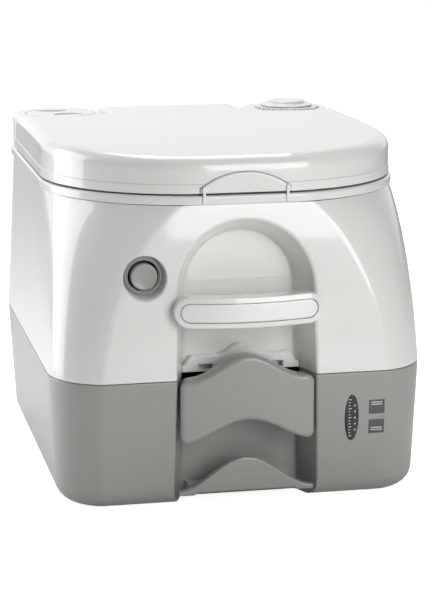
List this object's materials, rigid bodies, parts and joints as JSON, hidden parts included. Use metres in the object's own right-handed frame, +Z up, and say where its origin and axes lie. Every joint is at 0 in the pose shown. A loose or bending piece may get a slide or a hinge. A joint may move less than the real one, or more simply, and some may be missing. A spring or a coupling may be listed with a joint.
{
  "type": "portable toilet",
  "caption": "Two-part portable camping toilet: waste tank with slide valve and pour-out spout, under a flush-water tank with bowl, seat, lid, pump and carrying handle.",
  "frame": {"origin": "on the floor, in the middle of the body's plan", "axes": "+X to the right seen from the front, front faces -Y, +Z up"},
  "size_m": [0.338, 0.418, 0.316],
  "materials": {
    "white_gloss": "glossy moulded",
    "grey_satin": "satin moulded",
    "dark_window": "glossy tinted",
    "black_plastic": "satin",
    "black_rubber": "soft",
    "satin_silver": "satin",
    "steel": "drawn",
    "clear_hose": "milky"
  },
  "bodies": {
    "waste_tank": {"waste_tank_shell": "grey_satin", "level_window": "dark_window", "level_scale": "black_plastic", "valve_frame": "grey_satin", "valve_cover": "grey_satin", "valve_seal": "black_rubber", "valve_screw_1": "steel", "valve_screw_2": "steel", "valve_screw_3": "steel", "valve_screw_4": "steel", "front_lip": "grey_satin", "spout_collar": "grey_satin", "latch_catch": "grey_satin"},
    "slide_valve": {"valve_grip": "grey_satin", "valve_blade": "black_plastic"},
    "spout": {"pour_spout": "white_gloss"},
    "spout_cap_seal": {"spout_seal": "black_rubber"},
    "spout_cap": {"spout_cap": "grey_satin"},
    "vent": {"vent_button": "black_plastic", "vent_seal": "black_rubber"},
    "upper_unit": {"fresh_tank_shell": "white_gloss", "fresh_tank_floor": "white_gloss", "deck_and_bowl": "white_gloss", "hinge_pin_left": "steel", "hinge_pin_right": "steel", "handle_bar": "white_gloss", "handle_badge": "satin_silver", "valve_bezel": "white_gloss", "flush_bezel": "grey_satin", "flush_valve_body": "black_plastic", "flush_spring": "steel", "fill_neck": "white_gloss", "pump_collar": "white_gloss", "pump_cylinder": "black_plastic", "pump_hose": "clear_hose", "rinse_hose": "clear_hose", "rinse_nozzle": "grey_satin", "outlet_seal": "black_rubber", "latch_bracket": "grey_satin", "latch_pin": "steel"},
    "seat": {"seat": "white_gloss"},
    "lid": {"lid": "white_gloss"},
    "lid_latch": {"lid_latch": "white_gloss"},
    "flush_button": {"flush_button": "grey_satin"},
    "pump_plunger": {"pump_knob": "white_gloss", "pump_rod": "steel", "pump_piston": "black_plastic", "pump_piston_seal": "black_rubber"},
    "filler_seal": {"fill_cap_seal": "black_rubber"},
    "filler_cap": {"fill_cap": "white_gloss"},
    "rear_latch": {"latch_lever": "grey_satin"}
  },
  "joints": [
    {"name": "valve_slide", "type": "slide", "parent": "waste_tank", "child": "slide_valve", "axis": [0, -1, 0], "range_m": [0, 0.1]},
    {"name": "spout_swing", "type": "hinge", "parent": "waste_tank", "child": "spout", "pos_m": [0.035, 0.166, 0.0915], "axis": [0, 0, -1], "range_deg": [0, 90]},
    {"name": "spout_cap_lift", "type": "slide", "parent": "spout", "child": "spout_cap_seal", "axis": [-1, 0, 0], "range_m": [0, 0.012]},
    {"name": "spout_cap_turn", "type": "hinge", "parent": "spout_cap_seal", "child": "spout_cap", "pos_m": [-0.0995, 0.166, 0.0915], "axis": [-1, 0, 0], "range_deg": [0, 1080]},
    {"name": "vent_press", "type": "slide", "parent": "waste_tank", "child": "vent", "axis": [0, 0, -1], "range_m": [0, 0.004]},
    {"name": "upper_unit_lift", "type": "slide", "parent": "waste_tank", "child": "upper_unit", "axis": [0, 0, 1], "range_m": [0, 0.2]},
    {"name": "seat_hinge", "type": "hinge", "parent": "upper_unit", "child": "seat", "pos_m": [0, 0.181, 0.30228], "axis": [-1, 0, 0], "range_deg": [0, 94]},
    {"name": "lid_hinge", "type": "hinge", "parent": "seat", "child": "lid", "pos_m": [0, 0.181, 0.30228], "axis": [-1, 0, 0], "range_deg": [0, 94]},
    {"name": "lid_latch_flex", "type": "hinge", "parent": "lid", "child": "lid_latch", "pos_m": [0, -0.187, 0.293], "axis": [-1, 0, 0], "range_deg": [0, 12]},
    {"name": "flush_press", "type": "slide", "parent": "upper_unit", "child": "flush_button", "axis": [0, 1, 0], "range_m": [0, 0.005]},
    {"name": "pump_stroke", "type": "slide", "parent": "upper_unit", "child": "pump_plunger", "axis": [0, 0, 1], "range_m": [0, 0.05]},
    {"name": "filler_cap_lift", "type": "slide", "parent": "upper_unit", "child": "filler_seal", "axis": [0, 0, 1], "range_m": [0, 0.012]},
    {"name": "filler_cap_turn", "type": "hinge", "parent": "filler_seal", "child": "filler_cap", "pos_m": [-0.114, 0.147, 0.3], "axis": [0, 0, 1], "range_deg": [0, 1080]},
    {"name": "rear_latch_swing", "type": "hinge", "parent": "upper_unit", "child": "rear_latch", "pos_m": [0.115, 0.203, 0.15], "axis": [1, 0, 0], "range_deg": [0, 35]}
  ],
  "couplings": [
    {"joint": "spout_cap_turn", "follows": "spout_cap_lift", "rad_per_m": 1570.8},
    {"joint": "filler_cap_turn", "follows": "filler_cap_lift", "rad_per_m": 1570.8}
  ]
}
